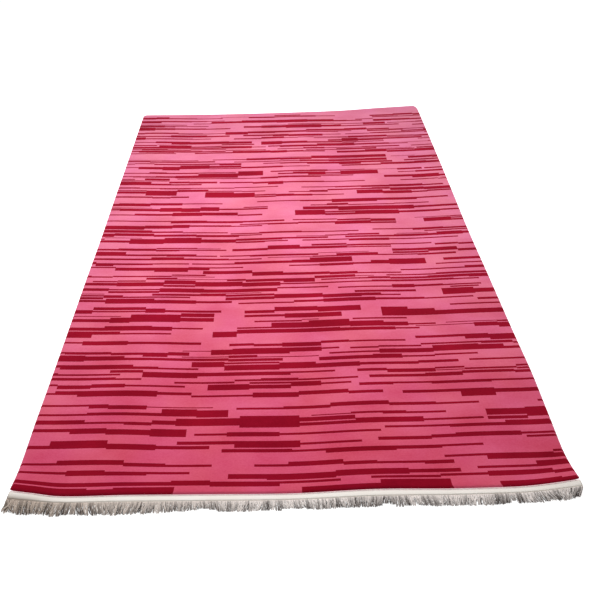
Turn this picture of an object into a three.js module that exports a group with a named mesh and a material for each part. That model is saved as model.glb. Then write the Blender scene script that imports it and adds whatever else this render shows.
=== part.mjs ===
// Nepalese rug: a hand-knotted cut-pile rug that lies flat on the floor.
// Three pieces: the knotted rug itself, a cotton tape sewn along one end, and the
// fringe that hangs from under the tape.
// Millimetres. +Z is up, +X runs across the rug, +Y runs away from the fringed end.
import * as THREE from "three";
import { mergeVertices } from "three/addons/utils/BufferGeometryUtils.js";

// ---- main sizes ----
const HALF_WIDTH = 855;
const HALF_LENGTH = 1200;
const PILE_THICKNESS = 12; // knotted foundation and cut pile together
const TAPE_THICKNESS = 3;
const FRINGE_THICKNESS = 4;
const PIECE_GAP = 0.4; // clear space between two neighbouring pieces
const FAR_CORNER_RADIUS = 24;
const NEAR_CORNER_RADIUS = 6;

// ---- unevenness of the woven outline ----
// The rows of knots sag toward the fringed end by this much in the middle.
const ROW_BOW = 15;

// Fringed end, with the bow left out. pile is the edge of the knots, tape the outer
// edge of the tape, tips the mean line of the fringe ends.
const NEAR_END = [
  { across: -860, pile: -1190, tape: -1216, tips: -1246 },
  { across: -790, pile: -1196, tape: -1219, tips: -1253 },
  { across: -700, pile: -1204, tape: -1223, tips: -1257 },
  { across: -500, pile: -1199, tape: -1219, tips: -1255 },
  { across: -250, pile: -1198, tape: -1218, tips: -1249 },
  { across: 0, pile: -1199, tape: -1218, tips: -1247 },
  { across: 250, pile: -1192, tape: -1213, tips: -1243 },
  { across: 500, pile: -1199, tape: -1218, tips: -1248 },
  { across: 720, pile: -1201, tape: -1220, tips: -1250 },
  { across: 860, pile: -1196, tape: -1217, tips: -1242 },
];

// Far end, with the bow left out: the right half was woven longer than the left.
const FAR_END = [
  { across: -860, pile: 1184 },
  { across: -400, pile: 1187 },
  { across: 0, pile: 1195 },
  { across: 350, pile: 1205 },
  { across: 600, pile: 1227 },
  { across: 860, pile: 1243 },
];

// The two long sides. Toward the fringed end the right one wanders in and out, and
// the left one spreads.
const SIDES = [
  { along: -1215, left: -866, right: 855 },
  { along: -1130, left: -859.5, right: 851 },
  { along: -950, left: -859.5, right: 856 },
  { along: -800, left: -858, right: 860 },
  { along: -600, left: -857, right: 857 },
  { along: -300, left: -856.5, right: 855.5 },
  { along: 0, left: -854, right: 853 },
  { along: 300, left: -855, right: 857 },
  { along: 600, left: -854, right: 860 },
  { along: 1245, left: -854, right: 863 },
];

// Near corners that stand off the floor. side is -1 for left and 1 for right,
// acrossReach and alongReach say how far in from the corner the curl begins.
const CURLS = [
  { side: -1, rise: 6, acrossReach: 170, alongReach: 110 },
  { side: 1, rise: 22, acrossReach: 190, alongReach: 120 },
];
const CURL_SHARPNESS = 1.6;

// ---- edge sections, from the upper face down to the underside ----
// inset is measured in from the outline, level is the share of the full thickness.
const PILE_EDGE = [
  { inset: 8, level: 1 },
  { inset: 3.2, level: 0.93 },
  { inset: 0.8, level: 0.72 },
  { inset: 0, level: 0.4 },
  { inset: 1.5, level: 0 },
];
const TAPE_EDGE = [
  { inset: 1.2, level: 1 },
  { inset: 0, level: 0.6 },
  { inset: 0.4, level: 0 },
];

// ---- mesh densities ----
const COLUMNS = 26;
const PILE_ROWS = 34;
const TAPE_ROWS = 2;
const MERGE_DISTANCE = 0.001;

// ---- fringe ----
const TUFTS = 96;
const TUFT_ROOT_SHARE = 0.88; // of the pitch, the rest is the gap between two tufts
const HEADING_DEPTH = 7; // where the strands are still packed side by side
const TUFT_SECTIONS = [
  { reach: 0, width: 1 },
  { reach: 0.55, width: 0.88 },
  { reach: 1, width: 0.64 },
];
const TUFT_LENGTH_SPREAD = 0.1;
const TIP_THINNING = 0.5;
const FRINGE_SEED = 4127;
// Slow sideways leans of the tufts, as waves along the end.
const LEANS = [
  { sway: 6, wavelength: 330, phase: 0.6 },
  { sway: 4, wavelength: 190, phase: 2.1 },
];
// Tufts that differ from their neighbours: the outermost ones splay past the left
// corner and turn in at the right one, one hangs long and some were cut short.
const HABITS = [
  { across: -850, reach: 80, sway: -7, longer: 0.96 },
  { across: -700, reach: 16, sway: 0, longer: 1.14 },
  { across: -275, reach: 36, sway: 0, longer: 0.86 },
  { across: 283, reach: 20, sway: 0, longer: 0.88 },
  { across: 647, reach: 20, sway: 0, longer: 0.88 },
  { across: 855, reach: 60, sway: -4, longer: 1 },
];

const clamp = (value, low, high) => Math.min(high, Math.max(low, value));
const mix = (from, to, share) => from + (to - from) * share;
const smooth = (share) => clamp(share, 0, 1) ** 2 * (3 - 2 * clamp(share, 0, 1));

// Smooth curve through one column of a table whose rows are sorted by `key`.
function curve(table, key, column, at) {
  const last = table.length - 1;
  const slope = (i) => {
    const before = table[Math.max(i - 1, 0)];
    const after = table[Math.min(i + 1, last)];
    return (after[column] - before[column]) / (after[key] - before[key]);
  };
  let i = 0;
  while (i < last - 1 && at > table[i + 1][key]) i += 1;
  const span = table[i + 1][key] - table[i][key];
  const t = clamp((at - table[i][key]) / span, 0, 1);
  const rise = table[i + 1][column] - table[i][column];
  const bendIn = slope(i) * span - rise;
  const bendOut = rise - slope(i + 1) * span;
  return table[i][column] + rise * t + t * (1 - t) * (bendIn * (1 - t) + bendOut * t);
}

const bow = (x) => ROW_BOW * (1 - (x / HALF_WIDTH) ** 2);
const nearLine = (column, x) => curve(NEAR_END, "across", column, x) - bow(x);
const farLine = (x) => curve(FAR_END, "across", "pile", x) - bow(x);

// Where a place across the cloth lies between the two uneven sides.
function clothX(across, y) {
  const left = curve(SIDES, "along", "left", y);
  const right = curve(SIDES, "along", "right", y);
  return mix(left, right, (across / HALF_WIDTH + 1) / 2);
}

// How far the cloth stands off the floor.
function lift(x, y) {
  let height = 0;
  for (const curl of CURLS) {
    const across = 1 - (HALF_WIDTH - curl.side * x) / curl.acrossReach;
    const along = 1 - (y + HALF_LENGTH) / curl.alongReach;
    const t = clamp(Math.min(across, 1) + Math.min(along, 1) - 1, 0, 1);
    height += curl.rise * t ** CURL_SHARPNESS;
  }
  return height;
}

// Draws even stations from -1 to 1 closer together toward both ends, where the
// corners are rounded.
const gather = (s) => 1.5 * s - 0.5 * s ** 3;

// Moves a point near a square corner so that the outline there is a quarter circle.
function roundCorner(fromSide, fromEnd, radius) {
  const a = clamp(1 - fromSide / radius, 0, 1);
  const b = clamp(1 - fromEnd / radius, 0, 1);
  if (a === 0 || b === 0) return [fromSide, fromEnd];
  const side = radius * (1 - a * Math.sqrt(1 - (b * b) / 2));
  const end = radius * (1 - b * Math.sqrt(1 - (a * a) / 2));
  return [side, end];
}

// Position in the knotted rug: u and v run from -1 to 1 across and along it.
function pilePoint(u, v, inset, level) {
  const halfWidth = HALF_WIDTH - inset;
  const halfLength = HALF_LENGTH - inset;
  const radius = Math.max((v > 0 ? FAR_CORNER_RADIUS : NEAR_CORNER_RADIUS) - inset, 1);
  const fromSide = halfWidth * (1 - Math.abs(u));
  const fromEnd = halfLength * (1 - Math.abs(v));
  const [side, end] = roundCorner(fromSide, fromEnd, radius);
  const across = Math.sign(u) * (halfWidth - side);
  const along = Math.sign(v) * (halfLength - end);
  const y = mix(nearLine("pile", across), farLine(across), (along / HALF_LENGTH + 1) / 2);
  const x = clothX(across, y);
  return [x, y, lift(x, y) + level * PILE_THICKNESS];
}

// The tape's inner edge stays one gap away from the edge of the knots.
function tapePoint(u, v, inset, level) {
  const across = u * (HALF_WIDTH - inset);
  const outer = nearLine("tape", across) + inset;
  const inner = nearLine("pile", across) - PIECE_GAP - inset;
  const y = mix(outer, inner, (v + 1) / 2);
  const x = clothX(across, y);
  return [x, y, lift(x, y) + level * TAPE_THICKNESS];
}

// A box of unit cells bent into a flat body: its top and bottom are grids, and its
// sides follow the edge sections.
function slab(columns, rows, edge, place) {
  const layers = edge.length - 1;
  const geometry = new THREE.BoxGeometry(2, 2, 2, columns, rows, layers);
  const position = geometry.attributes.position;
  for (let i = 0; i < position.count; i += 1) {
    const section = edge[Math.round(((1 - position.getZ(i)) / 2) * layers)];
    const u = gather(position.getX(i));
    const v = gather(position.getY(i));
    position.setXYZ(i, ...place(u, v, section.inset, section.level));
  }
  return geometry;
}

// Small repeatable random numbers from 0 to 1.
function randomFrom(seed) {
  let state = seed;
  return () => {
    state = (state * 1664525 + 1013904223) % 4294967296;
    return state / 4294967296;
  };
}

// Sideways sway and relative length of the tuft at x.
function tuftHabit(x) {
  let sway = 0;
  let longer = 1;
  for (const wave of LEANS) {
    sway += wave.sway * Math.sin((2 * Math.PI * x) / wave.wavelength + wave.phase);
  }
  for (const habit of HABITS) {
    const t = smooth(1.5 * (1 - Math.abs(x - habit.across) / habit.reach));
    sway += habit.sway * t;
    longer = mix(longer, habit.longer, t);
  }
  return { sway, longer };
}

// The tape's outer edge is made of straight runs between its stations, and the
// fringe follows those runs so that the gap between them stays even.
function fringeRoot(x) {
  const mark = (i) => HALF_WIDTH * gather((2 * i) / COLUMNS - 1);
  let i = 0;
  while (i < COLUMNS - 1 && x > mark(i + 1)) i += 1;
  const t = (x - mark(i)) / (mark(i + 1) - mark(i));
  return mix(nearLine("tape", mark(i)), nearLine("tape", mark(i + 1)), t) - PIECE_GAP;
}

// One comb: a packed heading along the tape, and tufts that spread out from it.
// It is laid out in strips of four-cornered cells, first as an upper skin.
function fringeGeometry() {
  const random = randomFrom(FRINGE_SEED);
  const pitch = (2 * HALF_WIDTH) / TUFTS;
  const half = (pitch * TUFT_ROOT_SHARE) / 2;
  const skin = [];
  const cells = [];
  const addRow = (middle, width, sway, depth, reach) => [-1, 1].map((side) => {
    const root = fringeRoot(middle + side * half);
    const x = clothX(middle + side * half * width, root) + sway;
    skin.push({ x, y: root - depth, reach });
    return skin.length - 1;
  });

  let previous = null;
  for (let k = 0; k < TUFTS; k += 1) {
    const middle = (k + 0.5) * pitch - HALF_WIDTH;
    const room = fringeRoot(middle) - nearLine("tips", middle) - HEADING_DEPTH;
    const { sway, longer } = tuftHabit(middle);
    const length = longer * room * (1 + TUFT_LENGTH_SPREAD * (2 * random() - 1));
    const rows = [addRow(middle, 1, 0, 0, 0)];
    for (const { reach, width } of TUFT_SECTIONS) {
      const depth = HEADING_DEPTH + length * reach;
      rows.push(addRow(middle, width, sway * reach ** 1.5, depth, reach));
    }
    for (let r = 1; r < rows.length; r += 1) {
      cells.push([...rows[r], rows[r - 1][1], rows[r - 1][0]]);
    }
    if (previous) cells.push([previous[1][1], rows[1][0], rows[0][0], previous[0][1]]);
    previous = rows;
  }
  return thicken(skin, cells);
}

// Gives the skin its thickness: an upper and a lower side, with walls along each
// cell edge that has no neighbour. Tufts sink from the tape to the floor and thin out.
function thicken(skin, cells) {
  const ground = ({ x, reach }) => lift(x, -HALF_LENGTH) * (1 - reach) ** 1.2;
  const height = ({ reach }) => FRINGE_THICKNESS * (1 - TIP_THINNING * reach ** 2);
  const over = skin.flatMap((point) => [point.x, point.y, ground(point) + height(point)]);
  const under = skin.flatMap((point) => [point.x, point.y, ground(point)]);
  const down = skin.length;
  const sides = cells.flatMap((cell) => cell.map((from, n) => [from, cell[(n + 1) % 4]]));
  const known = new Set(sides.map(([from, to]) => `${from} ${to}`));
  const index = [];
  for (const [a, b, c, d] of cells) {
    index.push(a, b, c, a, c, d);
    index.push(a + down, c + down, b + down, a + down, d + down, c + down);
  }
  for (const [from, to] of sides) {
    if (known.has(`${to} ${from}`)) continue;
    index.push(to, from, from + down, to, from + down, to + down);
  }
  const geometry = new THREE.BufferGeometry();
  geometry.setAttribute("position", new THREE.Float32BufferAttribute([...over, ...under], 3));
  geometry.setIndex(index);
  return geometry;
}

function piece(name, geometry, color, roughness) {
  geometry.deleteAttribute("normal");
  geometry.deleteAttribute("uv");
  const merged = mergeVertices(geometry, MERGE_DISTANCE);
  merged.computeVertexNormals();
  const mesh = new THREE.Mesh(
    merged,
    new THREE.MeshStandardMaterial({ color, roughness, metalness: 0 }),
  );
  mesh.name = name;
  return mesh;
}

const rug = new THREE.Group();
rug.name = "nepalese_rug";
rug.add(piece("knotted_pile", slab(COLUMNS, PILE_ROWS, PILE_EDGE, pilePoint), 0xd25170, 0.95));
rug.add(piece("end_tape", slab(COLUMNS, TAPE_ROWS, TAPE_EDGE, tapePoint), 0xe9e4da, 0.9));
rug.add(piece("fringe", fringeGeometry(), 0xb5aca5, 0.95));

// The origin sits under the middle of everything built.
const box = new THREE.Box3().setFromObject(rug);
const middle = box.getCenter(new THREE.Vector3());
for (const mesh of rug.children) mesh.geometry.translate(-middle.x, -middle.y, -box.min.z);

export default rug;
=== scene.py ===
"""Looks of a Nepalese rug: a hand-knotted, cut-pile rug of broken stripes, lying flat.

Metres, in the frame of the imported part: +X runs across the rug, +Y away from its
fringed end, +Z up. The pieces are first worked out on a loom frame, whose origin is the
middle of the weave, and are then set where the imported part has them.
"""

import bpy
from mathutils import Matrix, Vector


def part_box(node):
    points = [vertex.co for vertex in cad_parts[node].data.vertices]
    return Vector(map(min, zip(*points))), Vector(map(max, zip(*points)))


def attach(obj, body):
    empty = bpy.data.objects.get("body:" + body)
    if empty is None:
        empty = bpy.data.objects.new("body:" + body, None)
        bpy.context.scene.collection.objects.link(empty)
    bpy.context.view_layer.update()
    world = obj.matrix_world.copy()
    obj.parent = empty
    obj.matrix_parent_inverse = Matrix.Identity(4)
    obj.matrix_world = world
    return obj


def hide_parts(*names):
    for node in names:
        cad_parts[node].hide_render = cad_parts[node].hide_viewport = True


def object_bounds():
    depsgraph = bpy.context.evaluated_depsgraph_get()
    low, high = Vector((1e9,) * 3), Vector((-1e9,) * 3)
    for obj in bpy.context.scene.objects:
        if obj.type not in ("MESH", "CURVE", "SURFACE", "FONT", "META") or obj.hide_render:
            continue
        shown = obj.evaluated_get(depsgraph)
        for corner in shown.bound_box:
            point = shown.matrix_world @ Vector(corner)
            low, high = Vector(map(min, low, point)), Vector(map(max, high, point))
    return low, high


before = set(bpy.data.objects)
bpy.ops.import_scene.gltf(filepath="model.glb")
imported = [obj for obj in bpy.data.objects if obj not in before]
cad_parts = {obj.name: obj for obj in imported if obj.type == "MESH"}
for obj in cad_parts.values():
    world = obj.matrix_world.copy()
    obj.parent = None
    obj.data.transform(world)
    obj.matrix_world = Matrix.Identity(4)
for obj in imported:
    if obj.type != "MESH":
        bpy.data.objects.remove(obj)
cad_bounds = [list(corner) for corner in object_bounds()]

import math
import random

import bpy
import numpy as np
from mathutils import Matrix, Vector


def table(names, *rows):
    """Named columns, with one row for each station."""
    return dict(zip(names.split(), np.array(rows, float).T))


# ---- sizes of the weave, as in the solids ----
HALF_WIDTH = 0.855
HALF_LENGTH = 1.200
PILE_THICKNESS = 0.012
TAPE_THICKNESS = 0.003
PIECE_GAP = 0.0004
FAR_CORNER_RADIUS = 0.024
NEAR_CORNER_RADIUS = 0.006
LEAST_CORNER_RADIUS = 0.001  # of the pile's inset outlines
ROW_BOW = 0.015

# The fringed end, with the bow of the rows left out.
NEAR_END = table(
    "across pile tape tips",
    (-0.860, -1.190, -1.216, -1.246),
    (-0.790, -1.196, -1.219, -1.253),
    (-0.700, -1.204, -1.223, -1.257),
    (-0.500, -1.199, -1.219, -1.255),
    (-0.250, -1.198, -1.218, -1.249),
    (0.000, -1.199, -1.218, -1.247),
    (0.250, -1.192, -1.213, -1.243),
    (0.500, -1.199, -1.218, -1.248),
    (0.720, -1.201, -1.220, -1.250),
    (0.860, -1.196, -1.217, -1.242),
)
FAR_END = table(
    "across pile",
    (-0.860, 1.184),
    (-0.400, 1.187),
    (0.000, 1.195),
    (0.350, 1.205),
    (0.600, 1.227),
    (0.860, 1.243),
)
SIDES = table(
    "along left right",
    (-1.215, -0.866, 0.855),
    (-1.130, -0.8595, 0.851),
    (-0.950, -0.8595, 0.856),
    (-0.800, -0.858, 0.860),
    (-0.600, -0.857, 0.857),
    (-0.300, -0.8565, 0.8555),
    (0.000, -0.854, 0.853),
    (0.300, -0.855, 0.857),
    (0.600, -0.854, 0.860),
    (1.245, -0.854, 0.863),
)
# Near corners that stand off the floor: side -1 is left, 1 is right.
CURLS = table(
    "side rise across_reach along_reach",
    (-1, 0.006, 0.170, 0.110),
    (1, 0.022, 0.190, 0.120),
)
CURL_SHARPNESS = 1.6

# ---- rows of knots ----
ROWS = 600
COLUMNS = 128
# The rows stay parallel. The uneven ends are taken up near the ends alone.
NEAR_LEVEL = -1.198
FAR_LEVEL = 1.187
NEAR_FIT = 0.110
FAR_FIT = 0.030
# Slow waves in the rows, which drift sideways along the rug.
ROW_WAVES = table(
    "height wavelength drift phase",
    (0.0026, 0.93, 1.1, 0.4),
    (0.0014, 0.41, -2.3, 2.0),
)

# ---- rounded edge of the pile ----
EDGE_ROUND = 0.008
EDGE_WIDEST_LEVEL = 0.4
EDGE_STEPS = 5
FOOT_INSET = 0.0015
UNDERSIDE_INSET = 0.030
UNDERSIDE_STEP = 8  # knots to one cell of the underside
BACK_SLOT = 2  # the pile's materials are pink, crimson and back

# ---- surface of the pile ----
TUFT_RELIEF = 0.00022
RELIEF_FROM = 2  # knots from the border to the full relief
PILE_SEED = 905
SWELL_HEIGHT = 0.0005
SWELL_SIZE = 0.16
# Swells that run across and along the rug. The crests of each set wander sideways.
SWELL_SETS = table(
    "turns wander wander_turns phase",
    (2.1, 1.7, 0.8, 0.0),
    (1.6, 1.3, 0.9, 2.0),
)

# ---- broken stripes, in rows of knots ----
STRIPE_SEED = 24
PLAIN_FAR_ROWS = 5
LANE_STEPS = (5, 6, 7, 8, 10, 14)
THINNEST = 2
PINK_BETWEEN = 1
# Some of the thick runs are forked: a pink row splits them.
FORK_ROWS = 7
FORK_SHARE = 0.3
# A streak is a chain of touching runs. Lengths are in metres, and a lane starts up to
# the lead-in before the side of the rug.
LEAD_IN = 0.4
GAP_LENGTH = (-0.10, 0.22)
RUN_LENGTH = (0.07, 0.23)
# How many rows a streak may stray from its lane, how many a run may gain or lose, and
# how far the share of a run's rows that lie below its lane drifts from run to run.
LANE_STRAY = 2
RUN_CHANGES = (-1, 0, 0, 1)
SHARE_DRIFT = 0.35
# Rows in each run of a streak, from end to end, and how often such a streak comes.
# Half of them are laid the other way round.
STREAKS = [
    {"weight": 28, "rows": (2, 3, 4, 2, 2)},
    {"weight": 28, "rows": (2, 4, 7, 5, 3)},
    {"weight": 22, "rows": (8, 6, 4, 3, 2)},
    {"weight": 14, "rows": (2, 5, 8, 10, 7, 4, 2)},
    {"weight": 8, "rows": (11, 9, 7, 5, 3, 2)},
]

# ---- tape ----
TAPE_COLUMNS = 342
# From the edge by the pile, share 0, over the top to the outer edge, share 1. The tape is creased near
# its outer edge;
# the third column is painted shade in that crease and along the rolled outer edge.
TAPE_SECTION = table(
    "share level worn",
    (0.98, 0.00, 1.0),
    (1.00, 0.20, 0.7),
    (0.98, 0.40, 0.6),
    (0.95, 0.46, 0.8),
    (0.92, 0.36, 1.0),
    (0.88, 0.28, 1.0),
    (0.86, 0.46, 1.0),
    (0.84, 0.66, 0.4),
    (0.80, 0.86, 0.0),
    (0.60, 0.96, 0.0),
    (0.22, 1.00, 0.0),
    (0.05, 0.88, 0.0),
    (0.00, 0.55, 0.0),
    (0.00, 0.00, 0.0),
)
# Away from the left corner, the painted shade of the crease and outer edge is this share of its full
# depth.
CREASE_SHADE_ELSEWHERE = 0.5
# Toward the left corner, between these places, the painted shade in the crease of the tape is deeper,
# its outer half is darker and browner, and the fringe is browner.
DEEP_CREASE_SHADE = (-0.80, -0.55)
TAPE_DARKER_CORNER = (-0.84, -0.66)
CORNER_DARKENING = 1.15
DARKENING_POWER = 1.5  # over 1, so that the darkening keeps to the outer edge
# The right end of the tape is a little darker.
TAPE_DARKER_END = (0.86, 0.68)
END_DARKENING = 0.2
FRINGE_SOIL = (-0.78, -0.10)

# ---- fringe ----
TUFTS = 96
FRINGE_SEED = 4145
TUFT_LENGTH_SPREAD = 0.07
TUFT_STRAY = 0.003
LOCK_STRANDS = 2  # neighbouring strands that cling together
LOCK_TONE_SPREAD = 0.2
STRAND_TONE_SPREAD = 0.12
STRAND_STRAY = 0.0006
ROOT_STRAY = 0.0006
STRAND_RADIUS = 0.0012
RADIUS_SPREAD = (0.85, 1.12)
HEIGHT_SPREAD = (0.4, 1.2)
# A strand is two plies that turn around each other.
STRAND_TURNS = 3.0
STRAND_OVAL = 0.24
TIP_START = 0.8
TIP_THINNING = 0.30
# On its way a strand sways more and more, wiggles a little and comes down to the floor.
SWAY_POWER = 1.5
WIGGLE = (0.0004, 0.0016)
WIGGLE_WAVES = 1.3
WIGGLE_ONSET = 3  # the wiggle is at its full after one part in this many
LEAST_RUN = 0.6  # share of its length that a leaning strand still reaches out
LANDING_POWER = 1.2
SETTLING_POWER = 3
ROOT_PALENESS = 0.5
ROOT_FADE_POWER = 1.5
# The yarn grows a little darker from the first of these places to the second.
DULLNESS = 0.1
DULLING = (-0.10, 0.20)
# The lower layer lies straight and close on the floor, and its darker tones are painted shade in the
# gaps between the tufts. The upper one is gathered into tufts, strays sideways and crosses over itself.
FRINGE_LAYERS = [
    {
        "strands": 8, "sides": 5, "steps": 6, "height": 0.0, "rise": 0.0,
        "shortest": 0.90, "longest": 1.02, "gather": (-0.35, -0.15), "stray": 0.0010,
        "tone": (0.0, 0.45),
    },
    {
        "strands": 9, "sides": 6, "steps": 12, "height": 0.0012, "rise": 0.0018,
        "shortest": 0.96, "longest": 1.06, "gather": (-0.2, 0.2), "stray": 0.0018,
        "tone": (0.25, 0.85),
    },
]
LEANS = table(
    "sway wavelength phase",
    (0.006, 0.330, 0.6),
    (0.004, 0.190, 2.1),
)
# Tufts that differ from their neighbours: the outermost ones part at the left corner
# and turn in at the right one, one hangs long, some were cut short and some are darker.
# A later row overrules an earlier one where they overlap, in length and in gathering.
HABITS = table(
    "across reach sway longer gather tone",
    (-0.850, 0.030, 0.000, 1.12, -0.30, -0.15),
    (-0.760, 0.050, 0.000, 1.00, 0.00, -0.25),
    (-0.810, 0.040, 0.010, 1.20, -0.10, -0.10),
    (-0.700, 0.018, 0.000, 1.22, 0.25, 0.15),
    (-0.345, 0.080, 0.000, 0.84, 0.00, 0.00),
    (-0.268, 0.045, 0.000, 0.70, -0.05, 0.00),
    (0.003, 0.060, 0.000, 0.87, 0.00, 0.00),
    (0.260, 0.075, 0.000, 1.00, 0.00, -0.35),
    (0.283, 0.020, 0.000, 0.76, 0.00, 0.00),
    (0.647, 0.020, 0.000, 0.68, 0.10, 0.00),
    (0.780, 0.045, 0.014, 1.12, -0.20, 0.00),
    (0.855, 0.045, -0.006, 1.00, -0.40, -0.45),
)
HABIT_STEEPNESS = 1.5  # over 1, so that a habit is at its full around its middle
# Strands that are twisted together at the left corner, and lie over the others.
TWISTS = table(
    "across sway length radius tone",
    (-0.852, 0.031, 0.049, 0.0022, 0.20),
    (-0.848, 0.026, 0.047, 0.0024, 0.45),
    (-0.829, -0.022, 0.043, 0.0022, 0.65),
    (-0.833, -0.026, 0.041, 0.0026, 0.90),
)
TWIST_HEIGHT = 0.0025

# ---- maps for baked textures ----
# The pink, crimson and underside faces have a strip of the map each, low to high.
MAP_STRIPS = np.array([(0.005, 0.555), (0.565, 0.895), (0.905, 0.995)])
MAP_BORDER = 0.02
# On a tube's own unit map the skin lies between the two round ends.
SKIN_PLACE = (0.08, 0.92)
CAP_PLACE = 0.03
CELL_MARGIN = 0.05  # of a strand's cell on the fringe's map


def mix(start, end, share):
    return start + (end - start) * share


def smooth(share):
    share = np.clip(share, 0, 1)
    return share * share * (3 - 2 * share)


def fade(at, places):
    """One at the first of two places and beyond it, none at the second."""
    start, end = places
    return 1 - smooth((at - start) / (end - start))


def curve(stations, values, at):
    """Smooth curve through the values of a table's column."""
    last = len(stations) - 1
    before = np.clip(np.arange(last + 1) - 1, 0, last)
    after = np.clip(np.arange(last + 1) + 1, 0, last)
    slope = (values[after] - values[before]) / (stations[after] - stations[before])
    i = np.clip(np.searchsorted(stations, at) - 1, 0, last - 1)
    span = stations[i + 1] - stations[i]
    t = np.clip((at - stations[i]) / span, 0, 1)
    rise = values[i + 1] - values[i]
    bend_in = slope[i] * span - rise
    bend_out = rise - slope[i + 1] * span
    return values[i] + rise * t + t * (1 - t) * (bend_in * (1 - t) + bend_out * t)


def bow(across):
    return ROW_BOW * (1 - (across / HALF_WIDTH) ** 2)


def near_line(column, across):
    return curve(NEAR_END["across"], NEAR_END[column], across) - bow(across)


def row_line(across, along):
    """Where a row of knots lies: straight rows, bowed and waved, fitted to both ends."""
    straight = mix(NEAR_LEVEL, FAR_LEVEL, (along / HALF_LENGTH + 1) / 2)
    near_share = 1 - smooth((along + HALF_LENGTH) / NEAR_FIT)
    far_share = 1 - np.clip((HALF_LENGTH - along) / FAR_FIT, 0, 1)
    near = curve(NEAR_END["across"], NEAR_END["pile"], across) - NEAR_LEVEL
    far = curve(FAR_END["across"], FAR_END["pile"], across) - FAR_LEVEL
    wave = 0
    for height, wavelength, drift, phase in zip(*ROW_WAVES.values()):
        wave = wave + height * np.sin(2 * np.pi * across / wavelength + drift * along + phase)
    inside = (1 - near_share) * (1 - far_share)
    return straight + near_share * near + far_share * far + inside * wave - bow(across)


def cloth_x(across, y):
    """Where a place across the cloth lies between the two uneven sides."""
    left = curve(SIDES["along"], SIDES["left"], y)
    right = curve(SIDES["along"], SIDES["right"], y)
    return mix(left, right, (across / HALF_WIDTH + 1) / 2)


def lift(x, y):
    """How far the cloth stands off the floor."""
    height = 0
    for side, rise, across_reach, along_reach in zip(*CURLS.values()):
        across = 1 - (HALF_WIDTH - side * x) / across_reach
        along = 1 - (y + HALF_LENGTH) / along_reach
        t = np.clip(np.minimum(across, 1) + np.minimum(along, 1) - 1, 0, 1)
        height = height + rise * t ** CURL_SHARPNESS
    return height


def round_corner(from_side, from_end, radius):
    a = np.clip(1 - from_side / radius, 0, 1)
    b = np.clip(1 - from_end / radius, 0, 1)
    in_corner = (a > 0) & (b > 0)
    side = radius * (1 - a * np.sqrt(1 - b * b / 2))
    end = radius * (1 - b * np.sqrt(1 - a * a / 2))
    return np.where(in_corner, side, from_side), np.where(in_corner, end, from_end)


def pile_points(u, v, inset, level):
    """Points of the knotted rug: u and v run from -1 to 1 across and along it."""
    half_width = HALF_WIDTH - inset
    half_length = HALF_LENGTH - inset
    radius = np.where(v > 0, FAR_CORNER_RADIUS, NEAR_CORNER_RADIUS)
    radius = np.maximum(radius - inset, LEAST_CORNER_RADIUS)
    from_side = half_width * (1 - np.abs(u))
    from_end = half_length * (1 - np.abs(v))
    from_side, from_end = round_corner(from_side, from_end, radius)
    across = np.sign(u) * (half_width - from_side)
    along = np.sign(v) * (half_length - from_end)
    y = row_line(across, along)
    x = cloth_x(across, y)
    z = lift(x, y) + level * PILE_THICKNESS
    return np.stack([x, y, z], axis=-1)


def border_walk(rows, columns):
    """Row and column of each grid point on the border, anticlockwise from the near left."""
    near = [(0, i) for i in range(columns)]
    right = [(j, columns) for j in range(rows)]
    far = [(rows, i) for i in range(columns, 0, -1)]
    left = [(j, 0) for j in range(rows, 0, -1)]
    return np.array(near + right + far + left)


def border_places(walk):
    """Places u and v, from -1 to 1, of the knots' border."""
    return walk[:, 1] / COLUMNS * 2 - 1, walk[:, 0] / ROWS * 2 - 1


def loom_origin():
    """The loom frame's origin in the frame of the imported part."""
    u, v = border_places(border_walk(ROWS, COLUMNS))
    outline = pile_points(u, v, 0, EDGE_WIDEST_LEVEL)
    middle = (outline.min(axis=0) + outline.max(axis=0)) / 2
    low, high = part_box("knotted_pile")
    return Vector(((low.x + high.x) / 2 - middle[0], (low.y + high.y) / 2 - middle[1], low.z))


def swells(x, y):
    """Very low, slow swells of the pile, between -1 and 1."""
    total = 0
    ways = ((x, y), (y, x))
    for (run, side), turns, wander, wander_turns, phase in zip(ways, *SWELL_SETS.values()):
        crest = wander * np.sin(side / SWELL_SIZE * wander_turns + phase)
        total = total + np.sin(run / SWELL_SIZE * turns + crest)
    return total / len(ways)


def stripe_chart():
    """Which knots are crimson: streaks of touching runs, laid lane by lane."""
    choice = random.Random(STRIPE_SEED)
    chart = np.zeros((ROWS, COLUMNS), bool)
    filled_to = np.full(COLUMNS, -PINK_BETWEEN)
    weights = [streak["weight"] for streak in STREAKS]

    def column(x):
        return min(max(round((x / HALF_WIDTH + 1) / 2 * COLUMNS), 0), COLUMNS)

    def lay(low, rows, start, end):
        first, last = column(start), column(end)
        if first == last:
            return
        top = min(low + rows, ROWS - PLAIN_FAR_ROWS)
        low = max(low, filled_to[first:last].max() + PINK_BETWEEN)
        if low < top:
            chart[low:top, first:last] = True
            filled_to[first:last] = top

    def lay_streak(row, x):
        profile = list(choice.choices(STREAKS, weights)[0]["rows"])
        if choice.random() < 0.5:
            profile.reverse()
        share_below = choice.random()
        for rows in profile:
            rows = max(THINNEST, rows + choice.choice(RUN_CHANGES))
            end = x + choice.uniform(*RUN_LENGTH)
            low = round(row - rows * share_below)
            if rows >= FORK_ROWS and choice.random() < FORK_SHARE:
                prong = choice.randint(THINNEST, rows - THINNEST)
                lay(low, prong, x, end)
                lay(low + prong, rows - prong, x, end)
            else:
                lay(low, rows, x, end)
            drift = choice.uniform(-SHARE_DRIFT, SHARE_DRIFT)
            share_below = min(max(share_below + drift, 0), 1)
            x = end
        return x

    row = 0
    while row < ROWS:
        x = -HALF_WIDTH - choice.uniform(0, LEAD_IN)
        while x < HALF_WIDTH:
            stray = choice.randint(-LANE_STRAY, LANE_STRAY)
            x = lay_streak(row + stray, x) + choice.uniform(*GAP_LENGTH)
        row += choice.choice(LANE_STEPS)
    return chart


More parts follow.
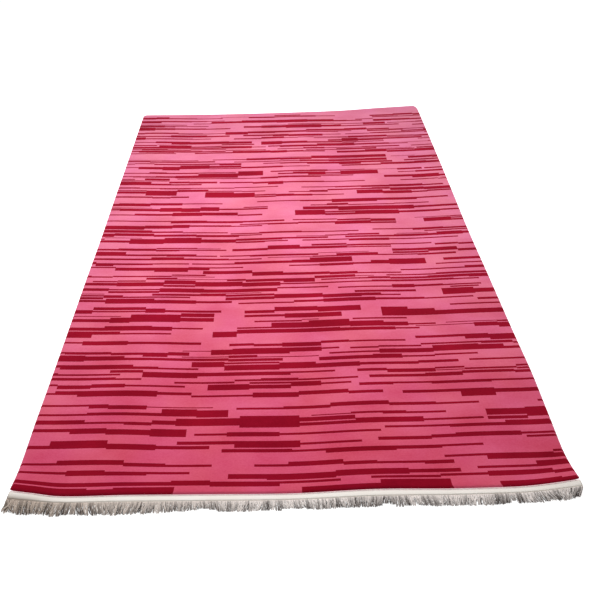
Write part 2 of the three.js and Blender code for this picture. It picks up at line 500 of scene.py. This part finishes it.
def new_piece(name, points, faces, materials, face_materials=None):
    mesh = bpy.data.meshes.new(name)
    mesh.from_pydata(points, [], faces)
    for material in materials:
        mesh.materials.append(material)
    if face_materials is not None:
        mesh.polygons.foreach_set("material_index", np.asarray(face_materials, np.int32))
    mesh.shade_smooth()
    mesh.update()
    piece = bpy.data.objects.new(name, mesh)
    piece.location = LOOM_ORIGIN
    bpy.context.scene.collection.objects.link(piece)
    return piece


def add_values(piece, name, values):
    """A value for each point of the piece, for its material to read."""
    attribute = piece.data.attributes.new(name, "FLOAT", "POINT")
    attribute.data.foreach_set("value", np.asarray(values, np.float32))


def lay_out(piece, places):
    """Gives each corner of each face its place on the map for baked textures."""
    layer = piece.data.uv_layers.new(name="OFBake", do_init=False)
    layer.uv.foreach_set("vector", np.asarray(places, np.float32).ravel())


def tube(rings, first_number):
    """Faces of a closed skin over a row of rings, and its corners on a unit map."""
    last = len(rings) - 1
    sides = rings.shape[1]
    number = first_number + np.arange((last + 1) * sides).reshape(-1, sides)
    i, j = np.meshgrid(np.arange(last), np.arange(sides), indexing="ij")
    corners = [(i, j), (i + 1, j), (i + 1, j + 1), (i, j + 1)]
    quads = np.stack([number[a, b % sides] for a, b in corners], axis=-1)
    skin = [np.stack([b / sides, mix(*SKIN_PLACE, a / last)], axis=-1) for a, b in corners]
    turns = np.arange(sides) * 2 * math.pi / sides
    cap = CAP_PLACE * np.stack([np.cos(turns), np.sin(turns)], axis=-1)
    caps = [cap + (0.5, CAP_PLACE), cap[::-1] + (0.5, 1 - CAP_PLACE)]
    faces = quads.reshape(-1, 4).tolist() + [number[0].tolist(), number[-1, ::-1].tolist()]
    return faces, np.concatenate([np.stack(skin, axis=-2).reshape(-1, 2), *caps])


class Skin:
    """A closed mesh in the making: its points, their places on the plan, and its faces."""

    def __init__(self):
        self.points = []
        self.plan = []
        self.faces = []
        self.slots = []
        self.count = 0

    def add_points(self, points, u, v, spread=1.0):
        """Numbers of the new points. On the plan they lie at u and v, times the spread."""
        numbers = self.count + np.arange(u.size).reshape(u.shape)
        self.points.append(points.reshape(-1, 3))
        self.plan.append(np.stack([u, v], axis=-1).reshape(-1, 2) * spread)
        self.count += u.size
        return numbers

    def add_faces(self, faces, slots):
        self.faces += faces.tolist()
        self.slots += slots.tolist()

    def places(self):
        """Place of each corner of each face on the map for baked textures."""
        strips = MAP_STRIPS[np.repeat(self.slots, [len(face) for face in self.faces])]
        plan = np.concatenate(self.plan)[np.concatenate(self.faces)]
        places = (plan / (1 + MAP_BORDER) + 1) / 2
        places[:, 1] = mix(strips[:, 0], strips[:, 1], places[:, 1])
        return places


def unit_grid(rows, columns):
    """Places u across and v along the cloth, from -1 to 1, of the points of a grid."""
    v, u = np.meshgrid(np.linspace(-1, 1, rows + 1), np.linspace(-1, 1, columns + 1), indexing="ij")
    return u, v


def grid_faces(numbers):
    """Faces between the points of a grid, facing up."""
    corners = (numbers[:-1, :-1], numbers[:-1, 1:], numbers[1:, 1:], numbers[1:, :-1])
    return np.stack(corners, axis=-1).reshape(-1, 4)


def lay_knots(skin, chart):
    """The top, with one face for each knot."""
    rng = np.random.default_rng(PILE_SEED)
    u, v = unit_grid(ROWS, COLUMNS)
    top = pile_points(u, v, EDGE_ROUND, 1.0)
    knots_in = np.minimum((1 - np.abs(u)) * COLUMNS / 2, (1 - np.abs(v)) * ROWS / 2)
    relief = SWELL_HEIGHT * swells(top[..., 0], top[..., 1])
    relief += TUFT_RELIEF * rng.uniform(-1, 1, relief.shape)
    top[..., 2] += np.clip(knots_in / RELIEF_FROM, 0, 1) * relief
    numbers = skin.add_points(top, u, v)
    skin.add_faces(grid_faces(numbers), chart.reshape(-1).astype(int))
    return numbers


def roll_edge(skin, chart, top):
    """The rounded edge and the foot, ring by ring from the top down."""
    walk = border_walk(ROWS, COLUMNS)
    u, v = border_places(walk)
    lower = np.minimum(walk, np.roll(walk, -1, axis=0))
    cells = lower - (lower == (ROWS, COLUMNS))
    slots = chart[cells[:, 0], cells[:, 1]].astype(int)
    turns = np.linspace(0, math.pi / 2, EDGE_STEPS + 1)[1:]
    sections = [(EDGE_ROUND * (1 - math.sin(a)), mix(EDGE_WIDEST_LEVEL, 1, math.cos(a))) for a in turns]
    ring = top[walk[:, 0], walk[:, 1]]
    for step, (inset, level) in enumerate(sections + [(FOOT_INSET, 0.0)], 1):
        spread = 1 + MAP_BORDER * step / (EDGE_STEPS + 1)
        above = ring
        ring = skin.add_points(pile_points(u, v, inset, level), u, v, spread)
        band = np.stack([above, ring, np.roll(ring, -1), np.roll(above, -1)], axis=-1)
        skin.add_faces(band, slots if level else np.full(len(ring), BACK_SLOT))
    return ring


def close_underside(skin, foot):
    """A coarser grid below, and a face for each of its border cells out to the foot."""
    rows, columns = ROWS // UNDERSIDE_STEP, COLUMNS // UNDERSIDE_STEP
    u, v = unit_grid(rows, columns)
    numbers = skin.add_points(pile_points(u, v, UNDERSIDE_INSET, 0.0), u, v, 1 - MAP_BORDER)
    faces = grid_faces(numbers)[:, [0, 3, 2, 1]]
    skin.add_faces(faces, np.full(len(faces), BACK_SLOT))
    walk = border_walk(rows, columns)
    inner = numbers[walk[:, 0], walk[:, 1]]
    spans = np.arange(len(inner))[:, None] * UNDERSIDE_STEP + np.arange(UNDERSIDE_STEP, -1, -1)
    outer = foot[spans % len(foot)]
    faces = np.column_stack([inner, np.roll(inner, -1), outer])
    skin.add_faces(faces, np.full(len(faces), BACK_SLOT))


def make_pile(pink, crimson, back):
    """One closed body: rows of knots on top, a rounded edge, and a plain underside."""
    chart = stripe_chart()
    skin = Skin()
    top = lay_knots(skin, chart)
    foot = roll_edge(skin, chart, top)
    close_underside(skin, foot)
    materials = [pink, crimson, back]
    piece = new_piece("pile", np.concatenate(skin.points), skin.faces, materials, skin.slots)
    lay_out(piece, skin.places())
    return piece


def make_tape(cotton):
    """A narrow woven band along the edge of the knots, creased near its outer edge."""
    across = np.linspace(-HALF_WIDTH, HALF_WIDTH, TAPE_COLUMNS + 1)
    inner = near_line("pile", across) - PIECE_GAP
    outer = near_line("tape", across)
    creased = fade(across, DEEP_CREASE_SHADE)
    browner = CORNER_DARKENING * fade(across, TAPE_DARKER_CORNER)
    darker_end = END_DARKENING * fade(across, TAPE_DARKER_END)
    # Each point stores painted shade in the crease and along the outer edge, deeper toward the left
    # corner, and a darker tape toward the left corner and the right end.
    rings = []
    worn = []
    for share, level, section_shade in zip(*TAPE_SECTION.values()):
        y = mix(inner, outer, share)
        x = cloth_x(across, y)
        rings.append(np.stack([x, y, lift(x, y) + level * TAPE_THICKNESS], axis=-1))
        darkening = np.maximum(darker_end, browner * share ** DARKENING_POWER)
        worn.append(np.maximum(darkening, section_shade * mix(CREASE_SHADE_ELSEWHERE, 1, creased)))
    rings = np.stack(rings, axis=1)
    faces, places = tube(rings, 0)
    piece = new_piece("tape", rings.reshape(-1, 3), faces, [cotton])
    add_values(piece, "worn", np.stack(worn, axis=1).ravel())
    lay_out(piece, places)
    return piece


def tuft_habit(x):
    """Sway, length, gathering and tone of the tuft at x."""
    sway, longer, gather, tone = 0, 1, 0, 0
    for height, wavelength, phase in zip(*LEANS.values()):
        sway += height * math.sin(2 * math.pi * x / wavelength + phase)
    for across, reach, own_sway, own_length, own_gather, own_tone in zip(*HABITS.values()):
        t = smooth(HABIT_STEEPNESS * (1 - abs(x - across) / reach))
        sway += own_sway * t
        longer = mix(longer, own_length, t)
        gather = mix(gather, own_gather, t)
        tone += own_tone * t
    return sway, longer, gather, tone


def strand_path(root, sway, length, radius, wiggle, phase, height, rise, steps):
    """Middle line of one strand, from the edge of the tape down to the floor."""
    reach = np.linspace(0, 1, steps + 1)
    wave = wiggle * np.sin(2 * math.pi * WIGGLE_WAVES * reach + phase)
    wave = wave * np.minimum(reach * WIGGLE_ONSET, 1)
    edge = near_line("tape", root)
    x = cloth_x(root, edge) + sway * reach ** SWAY_POWER + wave
    run = math.sqrt(max(length ** 2 - sway ** 2, (LEAST_RUN * length) ** 2))
    y = edge - PIECE_GAP - run * reach
    ground = lift(root, -HALF_LENGTH) * (1 - reach) ** LANDING_POWER
    z = ground + radius * (1 + STRAND_OVAL) + height * (1 - reach ** SETTLING_POWER)
    z = z + rise * np.sin(math.pi * reach)
    return np.stack([x, y, z], axis=-1)


def strand_rings(path, radius, sides, phase):
    """Rings of a two-ply yarn around its middle line: an oval that turns as it runs."""
    reach = np.linspace(0, 1, len(path))
    heading = np.gradient(path, axis=0)
    heading /= np.linalg.norm(heading, axis=1)[:, None]
    across = np.cross(heading, (0, 0, 1))
    across /= np.linalg.norm(across, axis=1)[:, None]
    over = np.cross(across, heading)
    angles = np.arange(sides) * 2 * math.pi / sides
    thin = 1 - TIP_THINNING * np.clip((reach - TIP_START) / (1 - TIP_START), 0, 1) ** 2
    ring = radius * thin[:, None] * (1 + STRAND_OVAL * np.cos(2 * angles))[None, :]
    turn = 2 * math.pi * STRAND_TURNS * reach[:, None] + angles[None, :] + phase
    sideways = (ring * np.cos(turn))[..., None] * across[:, None, :]
    upward = (ring * np.sin(turn))[..., None] * over[:, None, :]
    return path[:, None, :] + sideways + upward


class Strands:
    """Loose strands in the making, each with a cell of its own on the map."""

    def __init__(self, choice, count):
        self.choice = choice
        self.cells = math.ceil(math.sqrt(count))
        self.points = []
        self.faces = []
        self.places = []
        self.shades = []

    def add(self, layer, root, sway, length, tone, radius, height):
        """One strand, whose root is at the edge of the tape."""
        phase = self.choice.uniform(0, 2 * math.pi)
        wiggle = self.choice.uniform(*WIGGLE)
        height *= self.choice.uniform(*HEIGHT_SPREAD)
        rise = layer["rise"] * self.choice.uniform(0, 1)
        radius *= self.choice.uniform(*RADIUS_SPREAD)
        path = strand_path(root, sway, length, radius, wiggle, phase, height, rise, layer["steps"])
        rings = strand_rings(path, radius, layer["sides"], phase)
        faces, places = tube(rings, len(self.shades))
        cell = divmod(len(self.points), self.cells)
        self.points.append(rings.reshape(-1, 3))
        self.faces.extend(faces)
        self.places.append((places * (1 - 2 * CELL_MARGIN) + CELL_MARGIN + cell) / self.cells)
        paler = ROOT_PALENESS * np.linspace(1, 0, len(rings)) ** ROOT_FADE_POWER
        self.shades.extend(np.repeat(np.clip(tone + paler, 0, 1), layer["sides"]))

    def add_tuft(self, layer, middle, pitch):
        """One layer of a tuft: strands side by side, in locks that cling together."""
        choice = self.choice
        sway, longer, own_gather, own_tone = tuft_habit(middle)
        sway += choice.uniform(-TUFT_STRAY, TUFT_STRAY)
        room = near_line("tape", middle) - near_line("tips", middle)
        tuft_length = longer * room * (1 + TUFT_LENGTH_SPREAD * choice.uniform(-1, 1))
        gather = choice.uniform(*layer["gather"]) + own_gather
        tuft_tone = choice.uniform(*layer["tone"]) + own_tone
        tuft_tone -= DULLNESS * (1 - fade(middle, DULLING))
        for n in range(layer["strands"]):
            if n % LOCK_STRANDS == 0:
                lock_tone = tuft_tone + choice.gauss(0, LOCK_TONE_SPREAD)
                lock_sway = sway + choice.gauss(0, layer["stray"])
            offset = ((n + 0.5) / layer["strands"] - 0.5) * pitch
            offset += choice.uniform(-ROOT_STRAY, ROOT_STRAY)
            strand_sway = lock_sway - offset * gather + choice.gauss(0, STRAND_STRAY)
            length = tuft_length * choice.uniform(layer["shortest"], layer["longest"])
            tone = lock_tone + choice.gauss(0, STRAND_TONE_SPREAD)
            self.add(layer, middle + offset, strand_sway, length, tone, STRAND_RADIUS, layer["height"])


def make_fringe(yarn):
    """Loose strands of warp yarn, gathered into tufts, as one joined mesh."""
    loose = TUFTS * sum(layer["strands"] for layer in FRINGE_LAYERS)
    strands = Strands(random.Random(FRINGE_SEED), loose + len(TWISTS["across"]))
    pitch = 2 * HALF_WIDTH / TUFTS
    for layer in FRINGE_LAYERS:
        for tuft in range(TUFTS):
            strands.add_tuft(layer, (tuft + 0.5) * pitch - HALF_WIDTH, pitch)
    for root, sway, length, radius, tone in zip(*TWISTS.values()):
        strands.add(FRINGE_LAYERS[-1], root, sway, length, tone, radius, TWIST_HEIGHT)
    piece = new_piece("fringe_strands", np.concatenate(strands.points), strands.faces, [yarn])
    add_values(piece, "shade", strands.shades)
    lay_out(piece, np.concatenate(strands.places))
    return piece


# ---- materials ----
# A place on the wool has a tone between a deep and a pale dye. Patches give most of it,
# and single yarns the rest.
PATCH_SHARE = 0.7
TONE_RANGE = (0.36, 0.64)
# Partly dye, partly painted light: painted shade makes the wool deeper at the fringed end, painted light
# makes it paler and cooler toward the far end.
DYE_AND_LIGHT_DRIFT = (-1.15, 0.1)  # the wool is deepest at the fringed end
DRIFT_BREAKUP = 0.25
# Here and there the dye leans a little to orange or to violet.
WARM_CAST = (1.0, 1.02, 0.92, 1)
COOL_CAST = (1.0, 0.98, 1.08, 1)


def srgb(red, green, blue):
    """Linear colour of a colour given in the usual 0 to 255 steps."""
    def linear(value):
        value /= 255
        return value / 12.92 if value <= 0.04045 else ((value + 0.055) / 1.055) ** 2.4
    return (linear(red), linear(green), linear(blue), 1.0)


class Nodes:
    """A material's node tree, with short calls to add and link nodes.

    A name like Base_Color stands for the input Base Color.
    """

    def __init__(self, name):
        self.material = bpy.data.materials.new(name)
        self.material.use_nodes = True
        self.tree = self.material.node_tree
        self.shader = self.tree.nodes["Principled BSDF"]

    def add(self, kind, **inputs):
        node = self.tree.nodes.new(kind)
        for name, value in inputs.items():
            self.put(node.inputs[name.replace("_", " ")], value)
        return node

    def put(self, socket, value):
        if isinstance(value, bpy.types.NodeSocket):
            self.tree.links.new(value, socket)
        else:
            socket.default_value = value

    def place(self):
        return self.add("ShaderNodeTexCoord").outputs["Object"]

    def stretched(self, scale):
        mapping = self.add("ShaderNodeMapping", Vector=self.place(), Scale=scale)
        return mapping.outputs["Vector"]

    def along(self, axis):
        return self.add("ShaderNodeSeparateXYZ", Vector=self.place()).outputs[axis]

    def value_of(self, name):
        """What add_values stored under this name."""
        node = self.add("ShaderNodeAttribute")
        node.attribute_name = name
        return node.outputs["Fac"]

    def bands(self, direction, scale):
        node = self.add("ShaderNodeTexWave", Vector=self.place(), Scale=scale, Distortion=1.5)
        node.bands_direction = direction
        return node.outputs["Fac"]

    def noise(self, scale, detail=2.0, stretch=(1, 1, 1)):
        node = self.add("ShaderNodeTexNoise", Vector=self.stretched(stretch), Scale=scale, Detail=detail)
        return node.outputs["Fac"]

    def math(self, operation, first, second):
        node = self.tree.nodes.new("ShaderNodeMath")
        node.operation = operation
        self.put(node.inputs[0], first)
        self.put(node.inputs[1], second)
        return node.outputs[0]

    def blend(self, share, first, second, low=0.35, high=0.65):
        """Colour between two others, where share runs from low to high."""
        ramp = self.add("ShaderNodeMapRange", Value=share)
        ramp.inputs["From Min"].default_value = low
        ramp.inputs["From Max"].default_value = high
        node = self.tree.nodes.new("ShaderNodeMix")
        node.data_type = "RGBA"
        self.put(node.inputs[0], ramp.outputs[0])
        self.put(node.inputs[6], first)
        self.put(node.inputs[7], second)
        return node.outputs[2]

    def multiply(self, first, second):
        """Colour of one filter laid over another."""
        node = self.tree.nodes.new("ShaderNodeMix")
        node.data_type = "RGBA"
        node.blend_type = "MULTIPLY"
        self.put(node.inputs[0], 1.0)
        self.put(node.inputs[6], first)
        self.put(node.inputs[7], second)
        return node.outputs[2]

    def bump(self, height, distance, strength=1.0, before=None):
        node = self.add("ShaderNodeBump", Height=height, Distance=distance, Strength=strength)
        if before is not None:
            self.put(node.inputs["Normal"], before)
        return node.outputs["Normal"]

    def finished(self, **settings):
        """The material, with these settings on its shader's own sockets."""
        for name, value in settings.items():
            self.put(self.shader.inputs[name.replace("_", " ")], value)
        return self.material


def wool(name, shaded_near_dyes, lit_far_dyes, sheen, sheen_tint):
    """Cut wool pile: soft patches of tone and cast, a slow drift along the rug that is partly dye and
    partly painted light, with painted shade at the fringed end, fine yarn ends and a velvet sheen. Each
    pair of dyes is a deep and a pale tone."""
    nodes = Nodes(name)
    patches = nodes.noise(6.0, 3.0, stretch=(0.7, 1.5, 1))
    yarns = nodes.noise(300.0, 2.0, stretch=(0.6, 1.0, 1))
    patch_part = nodes.math("MULTIPLY", patches, PATCH_SHARE)
    yarn_part = nodes.math("MULTIPLY", yarns, 1 - PATCH_SHARE)
    share = nodes.math("ADD", patch_part, yarn_part)
    shaded_near_tone = nodes.blend(share, *shaded_near_dyes, *TONE_RANGE)
    lit_far_tone = nodes.blend(share, *lit_far_dyes, *TONE_RANGE)
    # Painted light: the blend runs from the deeper near dyes (painted shade at the fringed end) to the
    # paler, cooler far dyes (painted light and sheen), partly dye drift.
    drift = nodes.math("ADD", nodes.along("Y"), nodes.math("MULTIPLY", patches, DRIFT_BREAKUP))
    tone = nodes.blend(drift, shaded_near_tone, lit_far_tone, *DYE_AND_LIGHT_DRIFT)
    cast = nodes.blend(nodes.noise(5.0, 2.0, stretch=(1.0, 1.2, 1)), WARM_CAST, COOL_CAST)
    ends = nodes.noise(420.0, 2.0)
    rows = nodes.noise(130.0, 1.0, stretch=(0.25, 1.0, 1))
    lay = nodes.bump(rows, 0.0010, 0.45)
    return nodes.finished(
        Base_Color=nodes.multiply(tone, cast),
        Normal=nodes.bump(ends, 0.0008, 0.55, lay),
        Roughness=0.95,
        Specular_IOR_Level=0.03,
        Sheen_Weight=sheen,
        Sheen_Roughness=0.5,
        Sheen_Tint=sheen_tint,
    )


def knotted_back(name):
    """The underside: close rows of knots seen from behind."""
    nodes = Nodes(name)
    rows = nodes.noise(200.0, 2.0, stretch=(0.6, 1.0, 1))
    return nodes.finished(
        Base_Color=nodes.blend(rows, srgb(186, 74, 104), srgb(214, 106, 136)),
        Normal=nodes.bump(rows, 0.0012),
        Roughness=0.95,
        Specular_IOR_Level=0.15,
    )


def woven_cotton(name):
    """Cream cotton tape in a close plain weave, with painted shade in the weave's hollows, in the crease
    and along the outer edge, and darker and browner toward the left corner and the right end.
    """
    nodes = Nodes(name)
    weave = nodes.math("MULTIPLY", nodes.bands("X", 210.0), nodes.bands("Y", 260.0))
    patches = nodes.noise(26.0, 3.0, stretch=(0.4, 1, 1))
    clean = nodes.blend(patches, srgb(247, 240, 231), srgb(251, 247, 241))
    # Painted shade: the stored values darken the crease and outer edge, and the weave's hollows are a
    # painted shaded colour.
    worn = nodes.value_of("worn")
    tone = nodes.blend(worn, clean, srgb(165, 152, 140), 0.0, 1.0)
    shaded_hollow = nodes.blend(worn, srgb(243, 237, 229), srgb(150, 137, 125), 0.0, 1.0)
    return nodes.finished(
        Base_Color=nodes.blend(weave, shaded_hollow, tone, 0.0, 0.15),
        Normal=nodes.bump(weave, 0.0004, 0.6),
        Roughness=0.9,
        Specular_IOR_Level=0.2,
    )


def fringe_yarn(name):
    """Undyed warp yarn: every strand has its own grey, with fine fibres."""
    nodes = Nodes(name)
    shade = nodes.value_of("shade")
    clean = nodes.blend(shade, srgb(80, 70, 66), srgb(242, 233, 228), 0.0, 1.0)
    browner = nodes.blend(shade, srgb(62, 51, 45), srgb(200, 184, 171), 0.0, 1.0)
    tone = nodes.blend(nodes.along("X"), browner, clean, *FRINGE_SOIL)
    fibres = nodes.noise(900.0, 2.0, stretch=(1, 0.2, 1))
    return nodes.finished(
        Base_Color=nodes.blend(fibres, srgb(120, 110, 104), tone, 0.15, 0.45),
        Normal=nodes.bump(fibres, 0.0003, 0.6),
        Roughness=0.9,
        Specular_IOR_Level=0.2,
    )


def floor_finish(name):
    return Nodes(name).finished(
        Base_Color=(0.94, 0.94, 0.94, 1),
        Roughness=0.9,
        Specular_IOR_Level=0.1,
        Emission_Color=(1, 1, 1, 1),
        Emission_Strength=0.60,
    )


# ---- the stage ----
FLOOR_SIZE = 120.0
FLOOR_DROP = 0.0006
CAMERA_HEIGHT = 1.5025
CAMERA_BACK = 0.5495
CAMERA_SIDE = -0.0354
CAMERA_PITCH = math.radians(46.934)
CAMERA_YAW = math.radians(-0.10)
CAMERA_ROLL = math.radians(-1.246)
CAMERA_LENS = 30.12  # millimetres, as is the sensor's width
CAMERA_SENSOR = 36.0
CAMERA_SHIFT = 0.03845
LIGHT_HEIGHT = 1.9
LIGHT_ALONG = 0.36
LIGHT_SIDE = -0.19
LIGHT_SIZE = 2.0
LIGHT_POWER = 62.0
SKY_STRENGTH = 0.40


def make_floor():
    mesh = bpy.data.meshes.new("floor")
    half = FLOOR_SIZE / 2
    corners = [(-half, -half, 0), (half, -half, 0), (half, half, 0), (-half, half, 0)]
    mesh.from_pydata(corners, [], [(0, 1, 2, 3)])
    mesh.materials.append(floor_finish("floor_finish"))
    floor = bpy.data.objects.new("floor", mesh)
    floor.location.z = cad_bounds[0][2] - FLOOR_DROP
    bpy.context.scene.collection.objects.link(floor)


def make_camera():
    low, high = (Vector(corner) for corner in cad_bounds)
    data = bpy.data.cameras.new("camera")
    data.lens = CAMERA_LENS
    data.sensor_width = CAMERA_SENSOR
    data.shift_x = CAMERA_SHIFT
    camera = bpy.data.objects.new("camera", data)
    ahead = Vector((
        math.sin(CAMERA_YAW) * math.cos(CAMERA_PITCH),
        math.cos(CAMERA_YAW) * math.cos(CAMERA_PITCH),
        -math.sin(CAMERA_PITCH),
    ))
    level = Vector((math.cos(CAMERA_YAW), -math.sin(CAMERA_YAW), 0))
    above = level.cross(ahead)
    right = math.cos(CAMERA_ROLL) * level + math.sin(CAMERA_ROLL) * above
    up = math.cos(CAMERA_ROLL) * above - math.sin(CAMERA_ROLL) * level
    camera.matrix_world = Matrix((right, up, -ahead)).transposed().to_4x4()
    camera.location = ((low.x + high.x) / 2 + CAMERA_SIDE, low.y - CAMERA_BACK, low.z + CAMERA_HEIGHT)
    bpy.context.scene.collection.objects.link(camera)
    bpy.context.scene.camera = camera


def make_light():
    data = bpy.data.lights.new("softbox", "AREA")
    data.shape = "DISK"
    data.size = LIGHT_SIZE
    data.energy = LIGHT_POWER
    light = bpy.data.objects.new("softbox", data)
    light.location = (LIGHT_SIDE, LIGHT_ALONG, LIGHT_HEIGHT)
    bpy.context.scene.collection.objects.link(light)
    world = bpy.data.worlds.new("studio")
    world.use_nodes = True
    background = world.node_tree.nodes["Background"]
    background.inputs["Color"].default_value = (1, 1, 1, 1)
    background.inputs["Strength"].default_value = SKY_STRENGTH
    bpy.context.scene.world = world
    bpy.context.scene.view_settings.view_transform = "Standard"


# ---- the rug ----
LOOM_ORIGIN = loom_origin()
# The near dyes are deeper and the far dyes paler and cooler: partly dye, partly painted shade at the
# fringed end and painted light toward the far end.
pink_wool = wool(
    "pink_wool",
    (srgb(195, 53, 83), srgb(210, 77, 107)),
    (srgb(192, 81, 109), srgb(208, 106, 135)),
    sheen=0.85,
    sheen_tint=(1.0, 0.75, 0.98, 1),
)
crimson_wool = wool(
    "crimson_wool",
    (srgb(121, 4, 24), srgb(142, 8, 33)),
    (srgb(119, 5, 25), srgb(144, 11, 36)),
    sheen=0.46,
    sheen_tint=(1.0, 0.12, 0.23, 1),
)
pile = make_pile(pink_wool, crimson_wool, knotted_back("knotted_back"))
tape = make_tape(woven_cotton("cotton_tape"))
fringe = make_fringe(fringe_yarn("fringe_yarn"))

for piece, node, slot in (
    (pile, "knotted_pile", "wool_pile"),
    (tape, "end_tape", "cotton_tape"),
    (fringe, "fringe", "cotton_fringe"),
):
    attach(piece, "root")
    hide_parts(node)

make_floor()
make_camera()
make_light()
